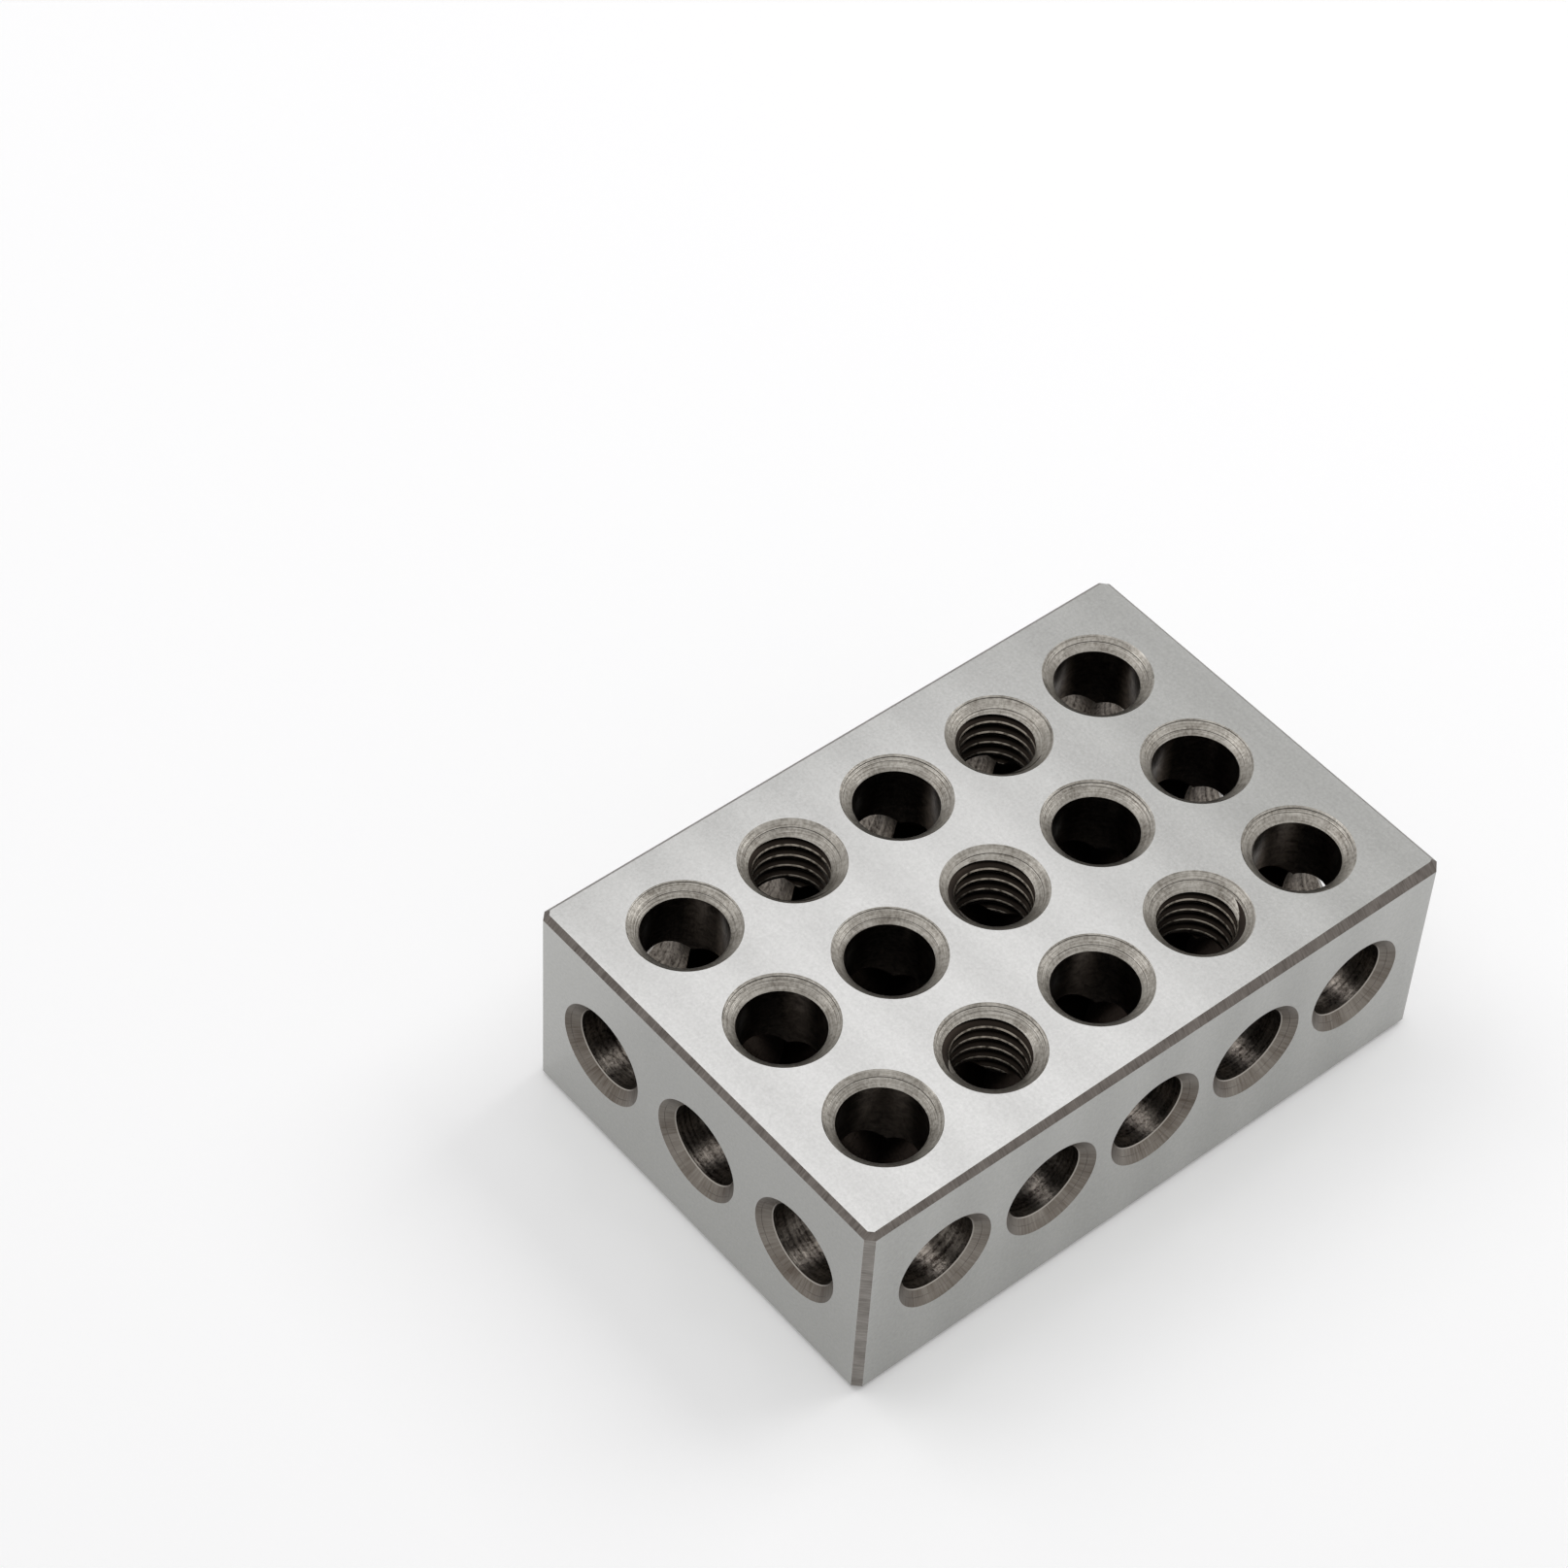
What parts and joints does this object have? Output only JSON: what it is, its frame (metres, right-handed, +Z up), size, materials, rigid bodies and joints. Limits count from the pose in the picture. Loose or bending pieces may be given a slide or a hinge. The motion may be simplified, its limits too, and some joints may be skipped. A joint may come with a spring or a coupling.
{
  "type": "setup block",
  "caption": "Ground rectangular steel block with plain and tapped countersunk holes that cross inside it, used to set up and clamp work on a machine table.",
  "frame": {"origin": "centre of the bottom face", "axes": "+X along the length, +Y across the width, +Z up through the height"},
  "size_m": [0.0762, 0.0508, 0.0254],
  "materials": {
    "ground_steel": "surface-ground hardened tool steel, satin, with darker bores and countersinks"
  },
  "bodies": {
    "root": {"setup_block": "ground_steel"}
  },
  "joints": []
}
